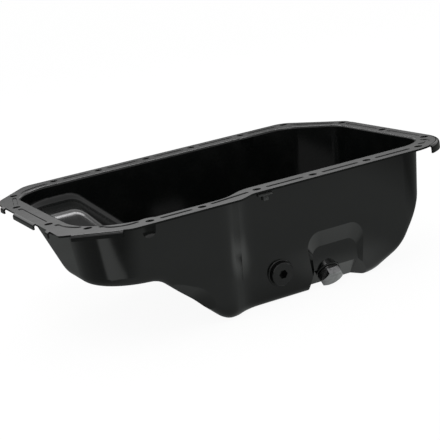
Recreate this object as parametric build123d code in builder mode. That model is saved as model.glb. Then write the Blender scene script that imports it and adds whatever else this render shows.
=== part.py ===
from build123d import *
from math import cos, radians, sin, tan
import os

# Pressed steel engine oil pan, in millimetres. X runs from the shallow front to the deep sump at the rear,
# the side with the plugs is -Y, and Z is up. The origin is the middle of the gasket face.

# Sheet
wall = 1.8
bend_radius = 2
lip_bend = 3

# Opening at the gasket face, on the inner skin
front_x = -179
rear_x = 184
far_y = 112
near_y = -112
near_front_y = -127
jog_front_x = -48
jog_rear_x = -24
rear_cut_x = 39
rear_cut_y = 56
front_near_radius = 62
front_far_radius = 40
jog_radius = 30
rear_near_radius = 30
rear_cut_radius = 32
wall_draft = 5.5

# Depths below the gasket face, on the outer skin
sump_depth = 120
front_depth = 61
front_far_depth = 21

# Shallow floor, rising towards the far side
floor_near_y = -18
floor_far_y = 52
floor_radius = 40

# Slope from the shallow floor down to the sump
slope_foot_x = -57
slope_angle = 43.5
slope_yaw = 12
slope_top_radius = 20
slope_foot_radius = 30

# Rear underside of the sump
rear_high_x = 181
rear_high_depth = 50
rear_low_x = 150
rear_low_depth = 102
rear_foot_x = 113
rear_low_radius = 45
rear_foot_radius = 40

# Round along the foot of the walls
foot_radius = 10

# Scoop under the near front corner of the sump
scoop_start_x = -112
scoop_start_depth = 58.5
scoop_corner_x = -65.5
scoop_corner_depth = 79
scoop_lean = 0.18
scoop_radius = 34
scoop_flare = 38
scoop_reach = 36

# Pocket over the drain plug: its flat back, and how far it opens out towards the wall
pocket_x = 71
pocket_width = 50
pocket_back_y = -101
pocket_flat_depth = 78
pocket_mouth_depth = 41.5
pocket_flare_x = 19
pocket_mouth_y = -116
pocket_mouth_radius = 24
pocket_radius = 10

# Side plug in its welded boss
side_plug_x = 7.5
side_plug_depth = 91
side_boss_diameter = 24
side_boss_height = 2.5
side_shank_diameter = 19
side_boss_inside = 6
side_thread = 14
side_seal_thickness = 1
side_collar_diameter = 23
side_collar_height = 2.5
side_seal_diameter = 22
side_socket = 8
side_socket_depth = 6
side_plug_length = 9
side_plug_chamfer = 0.6

# Drain plug in its welded boss, set at an angle under the pocket: the head's middle is placed above
# the bottom of the sump
drain_x = 62
drain_head_y = -103.6
drain_head_rise = 10.4
drain_angle = 45
drain_boss_diameter = 21
drain_boss_length = 3
drain_boss_inside = 11
drain_thread = 16
drain_washer_diameter = 24
drain_washer_thickness = 1.5
drain_hex = 22
drain_hex_height = 7
drain_hex_chamfer = 60
drain_plug_length = 18

# Slanted seat for the drain boss, across the foot of the pocket and flared at its sides
seat_draft = 35
seat_reach = 40

# Both threads turn with this clearance
thread_clearance = 0.1

# Flange outline, cut off at three corners
flange_front_x = -201
flange_rear_x = 200
flange_near_y = -137.8
flange_near_front_y = -147.5
flange_far_y = 138.5
near_cut_x = 54
near_cut_y = 40
far_cut_x = 44
far_cut_y = 48
rear_cut_margin_x = 12
rear_cut_margin_y = 10
jog_margin_x = 8
flange_radii = [6, 14, 12, 12, 46, 16, 18, 20, 16]

# Strips turned down from the flange: where each runs along its edge, and how deep it is
front_lip = (-40, 24, 5.5)
front_far_tab = (56, 67, 5.5)
front_near_tab = (-83, -75, 6)
rear_lip = (54, -91, 8)
near_cut_lip = (8, 55.5, 5.5)

# Bolt holes, from the front near corner round to the front end, and the beads pressed between them
bolt_hole_diameter = 8
bolt_holes = [
    (-173, -106), (-126, -137), (-75, -137), (-14.5, -127), (45, -127), (104.5, -127), (164, -127),
    (192.5, -96), (192.5, -19.5), (192, 62), (153, 127), (97, 127), (35, 127), (-20, 127), (-76, 127),
    (-127, 127), (-179, 102.5), (-192.5, 47.5), (-192.5, -54),
]
bead_width = 4.6
bead_depth = 0.7
bead_draft = 30
bead_end_gap = 12
bead_bows = {0: 7, 6: 6, 15: 4, 18: 3}

# Dents in the wall under the bolts that stand closest to it: number of the hole and radius
bolt_dents = {1: 12, 10: 15.5, 11: 15.5}
bolt_dent_depth = 12

os.makedirs("parts", exist_ok=True)

# Longer and deeper than the pan, for shapes that only cut
reach = 400
cut_depth = 40
below = sump_depth + cut_depth
slope_run = 1 / tan(radians(slope_angle))
slope_foot_middle_x = slope_foot_x - near_y * tan(radians(slope_yaw))
seat_widening = 1 / cos(radians(seat_draft)) - tan(radians(seat_draft))
yaw_direction = (sin(radians(slope_yaw)), cos(radians(slope_yaw)), 0)

opening_corners = [
    (front_x, near_front_y), (jog_front_x, near_front_y), (jog_rear_x, near_y), (rear_x, near_y),
    (rear_x, far_y - rear_cut_y), (rear_x - rear_cut_x, far_y), (front_x, far_y),
]
opening_radii = [
    front_near_radius, jog_radius, jog_radius, rear_near_radius, rear_cut_radius, rear_cut_radius,
    front_far_radius,
]


def sharp_edges(solid, top=-3, least_angle=12):
    # Edges below the gasket face where two faces meet at a corner
    found = ShapeList()
    faces = solid.faces()
    for edge in solid.edges().filter_by(lambda candidate: candidate.center().Z < top):
        beside = [face for face in faces if any(edge.is_same(other) for other in face.edges())]
        middle = edge.position_at(0.5)
        normals = [face.normal_at(middle) for face in beside]
        if len(normals) == 2 and normals[0].get_angle(normals[1]) > least_angle:
            found.append(edge)
    return found


def edge_near(solid, x, y, z):
    return min(solid.edges(), key=lambda edge: edge.distance_to(Vertex(x, y, z)))


def grow(amount):
    # Widens the open sketch, where there is anything to widen it by
    if amount:
        offset(amount=amount, kind=Kind.INTERSECTION)


def front_relief(inset):
    # Space under the shallow floor and in front of the slope
    with BuildPart() as relief:
        with BuildSketch(Plane.XZ.offset(-near_y)):
            with BuildLine():
                Polyline(
                    (slope_foot_x - sump_depth * slope_run, 0),
                    (slope_foot_x + cut_depth * slope_run, -below),
                    (-reach, -below), (-reach, 0), close=True,
                )
            make_face()
            grow(inset)
        extrude(amount=reach, dir=yaw_direction, both=True)
        with BuildSketch(Plane.YZ.offset(-reach)):
            with BuildLine():
                floor = FilletPolyline(
                    (-reach, -front_depth), (floor_near_y, -front_depth), (floor_far_y, -front_far_depth),
                    (reach, -front_far_depth), radius=floor_radius,
                )
                Polyline(floor @ 1, (reach, -below), (-reach, -below), floor @ 0)
            make_face()
            grow(inset)
        extrude(amount=2 * reach, mode=Mode.INTERSECT)
        slope_top = sharp_edges(relief.part, -wall).filter_by(
            lambda edge: edge.center().Z > -front_depth - wall and edge.center().X > flange_front_x
        )
        fillet(slope_top, radius=slope_top_radius + inset)
    return relief


def scoop(inset):
    # Flared hollow that turns the near wall into the slope
    with BuildPart() as hollow:
        with BuildSketch(Plane.XZ.offset(wall - near_front_y)):
            with BuildLine():
                arch = FilletPolyline(
                    (scoop_start_x, -scoop_start_depth), (scoop_corner_x, -scoop_corner_depth),
                    (scoop_corner_x + scoop_lean * below, -scoop_corner_depth - below), radius=scoop_radius,
                )
                Polyline(
                    arch @ 1, (-reach, -scoop_corner_depth - below), (-reach, -scoop_start_depth),
                    arch @ 0,
                )
            make_face()
            grow(inset / cos(radians(scoop_flare)))
        extrude(amount=-scoop_reach, taper=scoop_flare)
    return hollow


def pocket(inset):
    # Recess over the drain plug, open below, with a slanted seat for its boss
    with BuildPart() as recess:
        for y, flare, top, radius in (
            (pocket_mouth_y, pocket_flare_x, pocket_mouth_depth, pocket_mouth_radius),
            (pocket_back_y + inset, 0, pocket_flat_depth, pocket_radius),
        ):
            with BuildSketch(Plane.XZ.offset(-y)):
                with BuildLine():
                    half = pocket_width / 2 + flare
                    sides = FilletPolyline(
                        (pocket_x - half, -below), (pocket_x - half, -top), (pocket_x + half, -top),
                        (pocket_x + half, -below), radius=radius,
                    )
                    Line(sides @ 1, sides @ 0)
                make_face()
                grow(inset)
        loft(ruled=True)
        with BuildSketch(drain_seat.offset(-inset)):
            with Locations((pocket_x - drain_x, 0)):
                Rectangle(pocket_width + 2 * inset * seat_widening, 2 * seat_reach)
        extrude(amount=seat_reach, taper=-seat_draft)
    return recess


def lip(start, end, leg):
    # Strip turned down from the straight flange edge between two points, clockwise seen from above
    along = Vector(end) - Vector(start)
    outward = Vector(0, 0, 1).cross(along)
    with BuildPart() as strip:
        with BuildSketch(Plane(origin=start, x_dir=outward, z_dir=along)):
            with BuildLine():
                FilletPolyline(
                    (-wall, -wall / 2), (lip_bend - wall / 2, -wall / 2), (lip_bend - wall / 2, -leg),
                    radius=lip_bend - wall / 2,
                )
            trace(line_width=wall)
        extrude(amount=along.length)
    return strip


def pressed_form(inset):
    # The pressed shape, filled, as deep below the outer skin as the inset
    with BuildPart() as form:
        with BuildSketch():
            with BuildLine():
                FilletPolyline(*opening_corners, radius=opening_radii, close=True)
            make_face()
            grow(wall - inset)
        extrude(amount=inset - sump_depth, taper=wall_draft)
        add(front_relief(inset).part, mode=Mode.SUBTRACT)
        with BuildSketch(Plane.XZ):
            with BuildLine():
                Polyline(
                    (rear_high_x, -rear_high_depth), (rear_low_x, -rear_low_depth),
                    (rear_foot_x, -sump_depth), (rear_foot_x, -below), (reach, -below),
                    (reach, -rear_high_depth), close=True,
                )
            make_face()
            grow(inset)
        extrude(amount=reach, both=True, mode=Mode.SUBTRACT)
        for x, depth, radius in (
            (slope_foot_middle_x, sump_depth, slope_foot_radius),
            (rear_low_x - inset, rear_low_depth, rear_low_radius),
            (rear_foot_x - inset, sump_depth, rear_foot_radius),
        ):
            fillet(edge_near(form.part, x, 0, inset - depth), radius=radius - inset)
        fillet(sharp_edges(form.part), radius=foot_radius - inset)
        for hole, radius in bolt_dents.items():
            with Locations((*bolt_holes[hole], -bolt_dent_depth)):
                Cylinder(
                    radius + inset, below, align=(Align.CENTER, Align.CENTER, Align.MIN),
                    mode=Mode.SUBTRACT,
                )
                Sphere(radius + inset, mode=Mode.SUBTRACT)
        add(scoop(inset).part, mode=Mode.SUBTRACT)
        add(pocket(inset).part, mode=Mode.SUBTRACT)
    return form


drain_axis = Vector(0, -cos(radians(drain_angle)), -sin(radians(drain_angle)))
drain_head = Vector(drain_x, drain_head_y, drain_head_rise - sump_depth)
drain_stack = drain_hex_height / 2 + drain_washer_thickness + drain_boss_length
drain_seat = Plane(origin=drain_head - drain_axis * drain_stack, x_dir=(1, 0, 0), z_dir=drain_axis)
side_axis = Vector(0, -cos(radians(wall_draft)), -sin(radians(wall_draft)))
side_wall_y = near_y - wall + side_plug_depth * tan(radians(wall_draft))
side_seat = Plane(origin=(side_plug_x, side_wall_y, -side_plug_depth), x_dir=(1, 0, 0), z_dir=side_axis)

# Strips turned down from the flange
near_cut_front = Vector(flange_front_x, flange_near_front_y + near_cut_y)
near_cut_rear = Vector(flange_front_x + near_cut_x, flange_near_front_y)
near_cut_run = (near_cut_front - near_cut_rear).normalized()
lips = [((flange_rear_x, rear_lip[0]), (flange_rear_x, rear_lip[1]), rear_lip[2])]
for start, end, leg in (front_lip, front_far_tab, front_near_tab):
    lips.append(((flange_front_x, start), (flange_front_x, end), leg))
start, end, leg = near_cut_lip
lips.append((near_cut_rear + near_cut_run * start, near_cut_rear + near_cut_run * end, leg))

# Bead lines between the bolt holes, bowed outwards round the corners
with BuildSketch() as bead_lines:
    for index, (x, y) in enumerate(bolt_holes):
        here = Vector(x, y)
        there = Vector(*bolt_holes[(index + 1) % len(bolt_holes)])
        step = (there - here).normalized()
        outward = Vector(0, 0, 1).cross(step) * -1
        first = here + step * bead_end_gap
        last = there - step * bead_end_gap
        with BuildLine() as bead_line:
            if index in bead_bows:
                ThreePointArc(first, (first + last) / 2 + outward * bead_bows[index], last)
            else:
                Line(first, last)
        trace(bead_line.line, line_width=bead_width)
        with Locations(first, last):
            Circle(bead_width / 2)

with BuildPart() as oil_pan:
    with BuildSketch():
        with BuildLine():
            FilletPolyline(
                near_cut_front, near_cut_rear, (jog_front_x + jog_margin_x, flange_near_front_y),
                (jog_rear_x, flange_near_y), (flange_rear_x, flange_near_y),
                (flange_rear_x, far_y - rear_cut_y + rear_cut_margin_y),
                (rear_x - rear_cut_x + rear_cut_margin_x, flange_far_y),
                (flange_front_x + far_cut_x, flange_far_y),
                (flange_front_x, flange_far_y - far_cut_y), radius=flange_radii, close=True,
            )
        make_face()
    extrude(amount=-wall)
    add(pressed_form(0).part)
    for start, end, leg in lips:
        add(lip(start, end, leg).part)
    with BuildSketch(Plane.XY.offset(-wall)):
        add(bead_lines.sketch)
    extrude(amount=-bead_depth, taper=bead_draft)
    add(pressed_form(wall).part, mode=Mode.SUBTRACT)
    fillet(oil_pan.faces().sort_by(Axis.Z)[-1].inner_wires()[0].edges(), radius=bend_radius)
    add(bead_lines.sketch)
    extrude(amount=-bead_depth, taper=bead_draft, mode=Mode.SUBTRACT)
    with BuildSketch():
        with Locations(*bolt_holes):
            Circle(bolt_hole_diameter / 2)
    extrude(amount=-wall, mode=Mode.SUBTRACT)
    with BuildSketch(side_seat.offset(-side_boss_inside - wall)):
        Circle(side_shank_diameter / 2)
    extrude(amount=side_boss_inside + wall, mode=Mode.SUBTRACT)
    with BuildSketch(drain_seat.offset(-drain_boss_inside - wall)):
        Circle(drain_boss_diameter / 2)
    extrude(amount=drain_boss_inside + wall + drain_boss_length, mode=Mode.SUBTRACT)

with BuildPart() as side_boss:
    with BuildSketch(side_seat):
        Circle(side_boss_diameter / 2)
    extrude(amount=side_boss_height)
    with BuildSketch(side_seat):
        Circle(side_shank_diameter / 2)
    extrude(amount=-side_boss_inside - wall)
    with BuildSketch(side_seat.offset(side_boss_height)):
        Circle(side_thread / 2)
    extrude(amount=-side_boss_height - side_boss_inside - wall, mode=Mode.SUBTRACT)

side_face = side_seat.offset(side_boss_height)
with BuildPart() as side_seal:
    with BuildSketch(side_face):
        Circle(side_seal_diameter / 2)
        Circle(side_thread / 2 + thread_clearance, mode=Mode.SUBTRACT)
    extrude(amount=side_seal_thickness)

with BuildPart() as side_plug:
    with BuildSketch(side_face.offset(side_seal_thickness)):
        Circle(side_collar_diameter / 2)
    extrude(amount=side_collar_height)
    with BuildSketch(side_face.offset(side_seal_thickness)):
        Circle(side_thread / 2 - thread_clearance)
    extrude(amount=-side_plug_length)
    chamfer(side_plug.edges().filter_by(GeomType.CIRCLE).sort_by(Axis.Y)[0], length=side_plug_chamfer)
    with BuildSketch(side_face.offset(side_seal_thickness + side_collar_height)):
        RegularPolygon(side_socket / 2, 6, major_radius=False)
    extrude(amount=-side_socket_depth, mode=Mode.SUBTRACT)

drain_face = drain_seat.offset(drain_boss_length)
with BuildPart() as drain_boss:
    with BuildSketch(drain_face):
        Circle(drain_boss_diameter / 2)
        Circle(drain_thread / 2, mode=Mode.SUBTRACT)
    extrude(amount=-drain_boss_length - wall - drain_boss_inside)

with BuildPart() as drain_washer:
    with BuildSketch(drain_face):
        Circle(drain_washer_diameter / 2)
        Circle(drain_thread / 2 + thread_clearance, mode=Mode.SUBTRACT)
    extrude(amount=drain_washer_thickness)

with BuildPart() as drain_plug:
    with BuildSketch(drain_face.offset(drain_washer_thickness)):
        RegularPolygon(drain_hex / 2, 6, major_radius=False)
    extrude(amount=drain_hex_height)
    with BuildSketch(drain_face.offset(drain_washer_thickness + drain_hex_height)):
        Circle(drain_hex / 2)
    extrude(amount=-drain_hex_height, taper=-drain_hex_chamfer, mode=Mode.INTERSECT)
    with BuildSketch(drain_face.offset(drain_washer_thickness)):
        Circle(drain_thread / 2 - thread_clearance)
    extrude(amount=-drain_plug_length)

for piece, name in (
    (oil_pan, "oil_pan"), (side_boss, "side_boss"), (side_seal, "side_seal"), (side_plug, "side_plug"),
    (drain_boss, "drain_boss"), (drain_washer, "drain_washer"), (drain_plug, "drain_plug"),
):
    piece.part.label = name
    export_step(piece.part, f"parts/{name}.step")
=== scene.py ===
import bpy
import bmesh
import math
from mathutils import Euler, Matrix, Vector


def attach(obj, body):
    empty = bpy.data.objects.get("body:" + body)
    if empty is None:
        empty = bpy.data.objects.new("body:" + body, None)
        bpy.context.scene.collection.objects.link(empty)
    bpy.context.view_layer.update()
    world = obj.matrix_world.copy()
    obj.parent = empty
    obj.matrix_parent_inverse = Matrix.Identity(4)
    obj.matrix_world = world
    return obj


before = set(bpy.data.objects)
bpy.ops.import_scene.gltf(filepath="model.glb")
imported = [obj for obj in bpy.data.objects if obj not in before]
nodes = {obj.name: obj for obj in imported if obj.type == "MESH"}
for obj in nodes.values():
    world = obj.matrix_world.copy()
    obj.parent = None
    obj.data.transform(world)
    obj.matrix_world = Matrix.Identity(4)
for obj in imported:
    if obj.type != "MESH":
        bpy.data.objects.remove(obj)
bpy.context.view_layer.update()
scene = bpy.context.scene
print("frame loaded,", len(nodes), "nodes")


class Value:
    # one socket of a node tree, so that sums and products are plain Python

    def __init__(self, graph, socket):
        self.graph = graph
        self.socket = socket

    def __add__(self, other):
        return self.graph.math("ADD", self, other)

    def __radd__(self, other):
        return self.graph.math("ADD", other, self)

    def __sub__(self, other):
        return self.graph.math("SUBTRACT", self, other)

    def __rsub__(self, other):
        return self.graph.math("SUBTRACT", other, self)

    def __mul__(self, other):
        return self.graph.math("MULTIPLY", self, other)

    def __rmul__(self, other):
        return self.graph.math("MULTIPLY", other, self)

    def __truediv__(self, other):
        return self.graph.math("DIVIDE", self, other)

    def __rtruediv__(self, other):
        return self.graph.math("DIVIDE", other, self)

    def __abs__(self):
        return self.graph.math("ABSOLUTE", self)


class Graph:
    # the nodes of a material or of the world

    def __init__(self, owner):
        owner.use_nodes = True
        self.tree = owner.node_tree
        self.tree.nodes.clear()

    def node(self, kind, settings, inputs, output=0):
        # settings are made first, because they choose the sockets
        made = self.tree.nodes.new(kind)
        for name, setting in settings.items():
            if name == "stops":
                self.setStops(made.color_ramp, setting)
            else:
                setattr(made, name, setting)
        pairs = inputs.items() if isinstance(inputs, dict) else enumerate(inputs)
        for key, given in pairs:
            if isinstance(given, Value):
                self.tree.links.new(given.socket, made.inputs[key])
            else:
                made.inputs[key].default_value = given
        return Value(self, made.outputs[output]) if made.outputs else None

    def setStops(self, ramp, stops):
        while len(ramp.elements) > 1:
            ramp.elements.remove(ramp.elements[-1])
        for index, (place, level) in enumerate(stops):
            element = ramp.elements[0] if index == 0 else ramp.elements.new(place)
            element.position = place
            element.color = (level, level, level, 1)

    def math(self, operation, *values):
        return self.node("ShaderNodeMath", {"operation": operation}, values)

    def clamp(self, value):
        return self.node("ShaderNodeClamp", {}, [value])

    def spot(self):
        # Object coordinates
        return self.node("ShaderNodeTexCoord", {}, {}, "Object")

    def axis(self, vector, name):
        return self.node("ShaderNodeSeparateXYZ", {}, [vector], name)

    def rays(self):
        # 1 where the camera, a shiny surface or glass looks along the ray
        names = ("Is Camera Ray", "Is Glossy Ray", "Is Transmission Ray")
        return [self.node("ShaderNodeLightPath", {}, {}, name) for name in names]

    def noise(self, vector, scale, detail, roughness):
        inputs = {"Vector": vector, "Scale": scale, "Detail": detail, "Roughness": roughness}
        return self.node("ShaderNodeTexNoise", {}, inputs)

    def stretched(self, vector, scale):
        return self.node("ShaderNodeMapping", {}, {"Vector": vector, "Scale": scale})

    def ramp(self, value, stops):
        return self.node("ShaderNodeValToRGB", {"stops": stops}, [value])

    def mixColour(self, factor, low, high):
        # a Mix node has its two colours at inputs 6 and 7, and their mix at output 2
        return self.node("ShaderNodeMix", {"data_type": "RGBA"}, {"Factor": factor, 6: low, 7: high}, 2)

    def mixShader(self, factor, low, high):
        return self.node("ShaderNodeMixShader", {}, [factor, low, high])

    def bump(self, height, distance, strength, below=None):
        inputs = {"Height": height, "Distance": distance, "Strength": strength}
        if below:
            inputs["Normal"] = below
        return self.node("ShaderNodeBump", {}, inputs)

    def principled(self, inputs):
        return self.node("ShaderNodeBsdfPrincipled", {}, inputs)

    def finish(self, shader, kind="ShaderNodeOutputMaterial"):
        self.node(kind, {}, {"Surface": shader})


def newMaterial(name):
    material = bpy.data.materials.new(name)
    return material, Graph(material)


# gloss black paint, dipped over drawn sheet; a noise is its scale, detail and roughness,
# a ramp's stops are place and level
panPaint = {
    "colour": (0.0022, 0.0027, 0.0025, 1),
    "dusty": (0.0085, 0.0088, 0.0084, 1),
    "dustyShare": 0.35,
    "specular": 0.5,
    "roughness": 0.12,
    "smudgeRoughness": 0.05,
    "dustRoughness": 0.04,
    "dust": (38, 6, 0.62),
    "dustStops": ((0.46, 0), (0.78, 1)),
    "smudge": (9, 4, 0.55),
    "smudgeStops": ((0.35, 0), (0.7, 1)),
    "wave": (16, 2, 0.5),
    "waveDepth": 0.00025,
    "waveStrength": 0.5,
    "drawLines": (1, 4, 0.5),
    "drawStretch": (60, 60, 6),
    "drawDepth": 0.00003,
    "drawStrength": 0.5,
    "peel": (300, 2, 0.5),
    "peelDepth": 0.000012,
    "peelStrength": 0.6,
}


def makePanPaint(paint):
    material, g = newMaterial("panPaint")
    spot = g.spot()
    dust = g.ramp(g.noise(spot, *paint["dust"]), paint["dustStops"])
    smudge = g.ramp(g.noise(spot, *paint["smudge"]), paint["smudgeStops"])
    wave = g.noise(spot, *paint["wave"])
    drawLines = g.noise(g.stretched(spot, paint["drawStretch"]), *paint["drawLines"])
    peel = g.noise(spot, *paint["peel"])
    normal = g.bump(wave, paint["waveDepth"], paint["waveStrength"])
    normal = g.bump(drawLines, paint["drawDepth"], paint["drawStrength"], normal)
    normal = g.bump(peel, paint["peelDepth"], paint["peelStrength"], normal)
    dulled = smudge * paint["smudgeRoughness"] + dust * paint["dustRoughness"]
    g.finish(g.principled({
        "Base Color": g.mixColour(dust * paint["dustyShare"], paint["colour"], paint["dusty"]),
        "Roughness": dulled + paint["roughness"],
        "Normal": normal,
        "Specular IOR Level": paint["specular"],
    }))
    return material


# black paint on turned steel
bossPaint = {
    "colour": (0.003, 0.0033, 0.0032, 1),
    "worn": (0.02, 0.02, 0.02, 1),
    "wornShare": 0.4,
    "metallic": 0,
    "roughness": 0.2,
    "wornRoughness": 0.12,
    "blotch": (160, 5, 0.6),
    "blotchStops": ((0.45, 0), (0.8, 1)),
    "grain": (1, 3, 0.5),
    "grainStretch": (60, 900, 900),
    "grainDepth": 0.00003,
    "grainStrength": 0.5,
}

# the boss paint made light grey on the small mark: a painted highlight in place of the glint it shows
tabHighlightPaint = {
    **bossPaint,
    "colour": (0.07, 0.072, 0.071, 1),
    "worn": (0.16, 0.16, 0.16, 1),
    "roughness": 0.25,
}

# dark polished steel of the drain plug, brushed along its length
plugSteel = {
    "colour": (0.3, 0.3, 0.305, 1),
    "worn": (0.02, 0.02, 0.021, 1),
    "wornShare": 0.5,
    "metallic": 1,
    "roughness": 0.12,
    "wornRoughness": 0.12,
    "blotch": (140, 4, 0.6),
    "blotchStops": ((0.45, 0), (0.68, 1)),
    "grain": (1, 3, 0.5),
    "grainStretch": (1400, 200, 200),
    "grainDepth": 0.00002,
    "grainStrength": 0.5,
}

# soft dark metal of the two sealing rings: the ramp leaves the blotches as they are, and the relief
# follows them
sealMetal = {
    "colour": (0.03, 0.03, 0.03, 1),
    "worn": (0.01, 0.01, 0.01, 1),
    "wornShare": 1,
    "metallic": 0.6,
    "roughness": 0.35,
    "wornRoughness": 0.2,
    "blotch": (240, 4, 0.6),
    "blotchStops": ((0, 0), (1, 1)),
    "grain": (240, 4, 0.6),
    "grainStretch": (1, 1, 1),
    "grainDepth": 0.00003,
    "grainStrength": 0.5,
}


def makeGrainedFinish(name, look):
    material, g = newMaterial(name)
    spot = g.spot()
    worn = g.ramp(g.noise(spot, *look["blotch"]), look["blotchStops"])
    grain = g.noise(g.stretched(spot, look["grainStretch"]), *look["grain"])
    g.finish(g.principled({
        "Base Color": g.mixColour(worn * look["wornShare"], look["colour"], look["worn"]),
        "Metallic": look["metallic"],
        "Roughness": worn * look["wornRoughness"] + look["roughness"],
        "Normal": g.bump(grain, look["grainDepth"], look["grainStrength"]),
    }))
    return material


panMaterial = makePanPaint(panPaint)
bossMaterial = makeGrainedFinish("bossPaint", bossPaint)
# the tab's light grey colour is a painted highlight
tabHighlightMaterial = makeGrainedFinish("tabHighlightPaint", tabHighlightPaint)
plugMaterial = makeGrainedFinish("plugSteel", plugSteel)
sealMaterial = makeGrainedFinish("sealMetal", sealMetal)

coats = {
    "oil_pan": panMaterial,
    "side_boss": bossMaterial,
    "drain_boss": bossMaterial,
    "side_plug": bossMaterial,
    "drain_plug": plugMaterial,
    "side_seal": sealMaterial,
    "drain_washer": sealMaterial,
}
for nodeName, coat in coats.items():
    nodes[nodeName].data.materials.clear()
    nodes[nodeName].data.materials.append(coat)
print("materials made")


def meshObject(name, shape, material):
    mesh = bpy.data.meshes.new(name)
    shape.to_mesh(mesh)
    shape.free()
    mesh.materials.append(material)
    made = bpy.data.objects.new(name, mesh)
    scene.collection.objects.link(made)
    return made


def newPiece(name, shape, material):
    bmesh.ops.recalc_face_normals(shape, faces=shape.faces)
    for face in shape.faces:
        face.smooth = True
    piece = meshObject(name, shape, material)
    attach(piece, "root")
    return piece


def quarterTurn(steps):
    return [math.radians(90 * step / steps) for step in range(steps + 1)]


# the lip turned down round the corner of the flange, at the rear on the near side
cornerLip = {
    "centre": (0.154, -0.0918, 0),
    "flangeRadius": 0.046,
    "bend": 0.003,
    "bendSteps": 6,
    "wall": 0.0018,
    "leg": 0.008,
    "sweep": 66,
    "steps": 22,
    "overlap": 0.0008,
    "sharpAngle": 40,
}


def makeCornerLip(lip):
    bend, wall, leg, overlap = lip["bend"], lip["wall"], lip["leg"], lip["overlap"]
    inner = bend - wall
    turns = quarterTurn(lip["bendSteps"])
    # the outline runs out over the bend, down the leg and back inside it, as (out, height)
    outline = [(-overlap, 0)]
    outline += [(bend * math.sin(turn), bend * math.cos(turn) - bend) for turn in turns]
    outline += [(bend, -leg), (inner, -leg)]
    outline += [(inner * math.sin(turn), inner * math.cos(turn) - bend) for turn in reversed(turns)]
    outline += [(-overlap, -wall)]
    shape = bmesh.new()
    centre, radius = Vector(lip["centre"]), lip["flangeRadius"]
    corners = [shape.verts.new(centre + Vector((radius + out, 0, height))) for out, height in outline]
    profile = shape.faces.new(corners)
    bmesh.ops.spin(
        shape, geom=[profile, *profile.edges, *profile.verts], cent=centre, axis=(0, 0, 1),
        angle=-math.radians(lip["sweep"]), steps=lip["steps"], use_merge=False, use_duplicate=False,
    )
    piece = newPiece("corner_lip", shape, panMaterial)
    piece.data.set_sharp_from_angle(angle=math.radians(lip["sharpAngle"]))


makeCornerLip(cornerLip)
print("lip made")


# beads of weld round both bosses: foot is the middle of the boss on the sheet, and tilt is how far the
# boss looks down
weldBeads = [
    {
        "name": "side_weld", "foot": (0.0075, -0.105036, -0.091), "tilt": 5.5, "radius": 0.012,
        "width": 0.0016, "height": 0.0014, "arcSteps": 4, "ringSteps": 72,
    },
    {
        "name": "drain_weld", "foot": (0.062, -0.097943, -0.103943), "tilt": 45, "radius": 0.0105,
        "width": 0.0018, "height": 0.0016, "arcSteps": 4, "ringSteps": 72,
    },
]


def makeWeldBead(bead):
    tilt = math.radians(bead["tilt"])
    axis = Vector((0, -math.cos(tilt), -math.sin(tilt)))
    across = Vector((1, 0, 0))
    foot = Vector(bead["foot"])
    turns = quarterTurn(bead["arcSteps"])
    # a quarter of an ellipse against the boss, as (out, rise)
    outline = [(0, 0), *((bead["width"] * math.cos(turn), bead["height"] * math.sin(turn)) for turn in turns)]
    shape = bmesh.new()
    corners = [shape.verts.new(foot + across * (bead["radius"] + out) + axis * rise) for out, rise in outline]
    profile = [shape.edges.new((corners[index - 1], corners[index])) for index in range(len(corners))]
    bmesh.ops.spin(
        shape, geom=[*profile, *corners], cent=foot, axis=axis, angle=math.radians(360),
        steps=bead["ringSteps"], use_merge=True, use_duplicate=False,
    )
    newPiece(bead["name"], shape, bossMaterial)


for bead in weldBeads:
    makeWeldBead(bead)
print("weld beads made")


# small raised mark under the flange on the near side: a bar with a stub below it
wallTab = {
    "middle": (-0.0005, -0.1138, -0.0098),
    "bar": (0.0155, 0.0034, 0.0028),
    "stub": (0.006, 0.003, 0.0056),
    "stubDrop": 0.0034,
    "bevel": 0.001,
    "bevelSegments": 3,
}


def addBlock(shape, middle, size):
    spread = Matrix.Diagonal((*size, 1))
    bmesh.ops.create_cube(shape, size=1, matrix=Matrix.Translation(middle) @ spread)


def makeWallTab(tab):
    shape = bmesh.new()
    middle = Vector(tab["middle"])
    addBlock(shape, middle, tab["bar"])
    addBlock(shape, middle - Vector((0, 0, tab["stubDrop"])), tab["stub"])
    bmesh.ops.bevel(
        shape, geom=shape.edges[:], offset=tab["bevel"], affect="EDGES",
        segments=tab["bevelSegments"], profile=0.5, material=-1,
    )
    # the tab's light grey paint is a painted highlight
    newPiece("wall_tab", shape, tabHighlightMaterial)


makeWallTab(wallTab)
print("wall tab made")


white = (1, 1, 1, 1)

# the floor is white to look at; shiny pieces mirror pale cards on a dark floor instead. A card has its
# middle, its half size, the softness of its edge and how pale it is
floorSheet = {
    "z": -0.1201,
    "size": 6,
    "seenMatte": (0.8, 0.8, 0.8, 1),
    "dark": (0.13, 0.136, 0.132, 1),
    "pale": (0.84, 0.87, 0.85, 1),
    "speckle": (30, 3, 0.5),
    "speckleLevel": 0.06,
    "glow": 1.04,
    "seenGlowShare": 0.9,
    "mirroredGlowShare": 0.7,
    "cards": (
        {"middle": (0.03, -0.285), "half": (0.32, 0.245), "soft": 0.11, "level": 0.39},
        {"middle": (0.105, -0.105), "half": (0.062, 0.09), "soft": 0.045, "level": 0.6},
        {"middle": (-0.40, -0.165), "half": (0.16, 0.055), "soft": 0.012, "level": 1.0},
    ),
}


def cardLevel(g, x, y, card):
    acrossX = g.clamp((card["half"][0] - abs(x - card["middle"][0])) / card["soft"])
    acrossY = g.clamp((card["half"][1] - abs(y - card["middle"][1])) / card["soft"])
    return acrossX * acrossY * card["level"]


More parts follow.
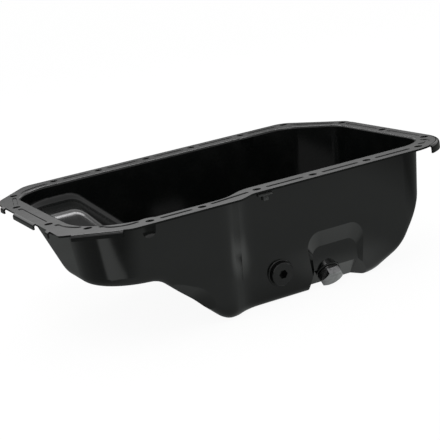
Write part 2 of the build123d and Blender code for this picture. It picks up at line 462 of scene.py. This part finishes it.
def makeFloorMaterial(sheet):
    material, g = newMaterial("floorSheet")
    seen, mirrored, through = g.rays()
    spot = g.spot()
    x, y = g.axis(spot, "X"), g.axis(spot, "Y")
    pale = sum(cardLevel(g, x, y, card) for card in sheet["cards"])
    speckle = g.noise(spot, *sheet["speckle"]) * sheet["speckleLevel"]
    cards = g.mixColour(g.clamp(pale + speckle), sheet["dark"], sheet["pale"])
    matteColour = g.mixColour(seen, cards, sheet["seenMatte"])
    matte = g.node("ShaderNodeBsdfDiffuse", {}, {"Color": matteColour})
    glowColour = g.mixColour(mirrored, white, cards)
    glow = g.node("ShaderNodeEmission", {}, {"Color": glowColour, "Strength": sheet["glow"]})
    share = (seen + through) * sheet["seenGlowShare"] + mirrored * sheet["mirroredGlowShare"]
    g.finish(g.mixShader(g.clamp(share), matte, glow))
    return material


def makeFloor(sheet):
    shape = bmesh.new()
    level = Matrix.Translation((0, 0, sheet["z"]))
    bmesh.ops.create_grid(shape, x_segments=1, y_segments=1, size=sheet["size"], matrix=level)
    floor = meshObject("floor", shape, makeFloorMaterial(sheet))


# plain light for matt surfaces, white to look at; what shiny pieces mirror goes by height, from the
# horizon (0) to straight up (1)
skyLight = {
    "plain": 0.75,
    "seen": 1.0,
    "stops": ((0.0, 0.08), (0.188, 0.1), (0.22, 0.62), (0.27, 0.95), (0.5, 0.65), (1.0, 0.5)),
}


def makeSky(sky):
    world = bpy.data.worlds.new("studioSky")
    scene.world = world
    g = Graph(world)
    seen, mirrored, through = g.rays()
    height = g.axis(g.spot(), "Z")

    def light(strength):
        return g.node("ShaderNodeBackground", {}, {"Color": white, "Strength": strength})

    reflection = g.mixShader(g.ramp(height, sky["stops"]), light(0), light(1))
    lit = g.mixShader(mirrored, light(sky["plain"]), reflection)
    g.finish(g.mixShader(g.clamp(seen + through), lit, light(sky["seen"])), "ShaderNodeOutputWorld")


makeFloor(floorSheet)
makeSky(skyLight)

# sizes in metres, power in watts
lamps = [
    {
        "name": "topBox", "place": (-0.5, -0.5, 1.4), "aim": (0, 0, 0),
        "width": 0.8, "height": 0.8, "power": 6,
    },
    {
        "name": "backBox", "place": (0.3, 1.05, 1.05), "aim": (-0.1, 0, 0),
        "width": 0.9, "height": 0.3, "power": 4.5,
    },
]


def makeLamp(lamp):
    light = bpy.data.lights.new(lamp["name"], "AREA")
    light.shape = "RECTANGLE"
    light.size = lamp["width"]
    light.size_y = lamp["height"]
    light.energy = lamp["power"]
    holder = bpy.data.objects.new(lamp["name"], light)
    holder.location = lamp["place"]
    sight = Vector(lamp["aim"]) - Vector(lamp["place"])
    holder.rotation_euler = sight.to_track_quat("-Z", "Y").to_euler()
    scene.collection.objects.link(holder)


for lamp in lamps:
    makeLamp(lamp)
print("stage lit")


# place in metres, turn in degrees, lens and sensor in millimetres
cameraView = {
    "place": (-0.4960, -1.1311, 0.2598),
    "turn": (75.564, 8.867, -25.955),
    "lens": 102.27,
    "sensor": 36,
}


def makeCamera(view):
    data = bpy.data.cameras.new("camera")
    data.lens = view["lens"]
    data.sensor_width = view["sensor"]
    camera = bpy.data.objects.new("camera", data)
    camera.location = view["place"]
    camera.rotation_euler = Euler([math.radians(angle) for angle in view["turn"]])
    scene.collection.objects.link(camera)
    scene.camera = camera


makeCamera(cameraView)
scene.view_settings.view_transform = "Standard"
print("camera placed")
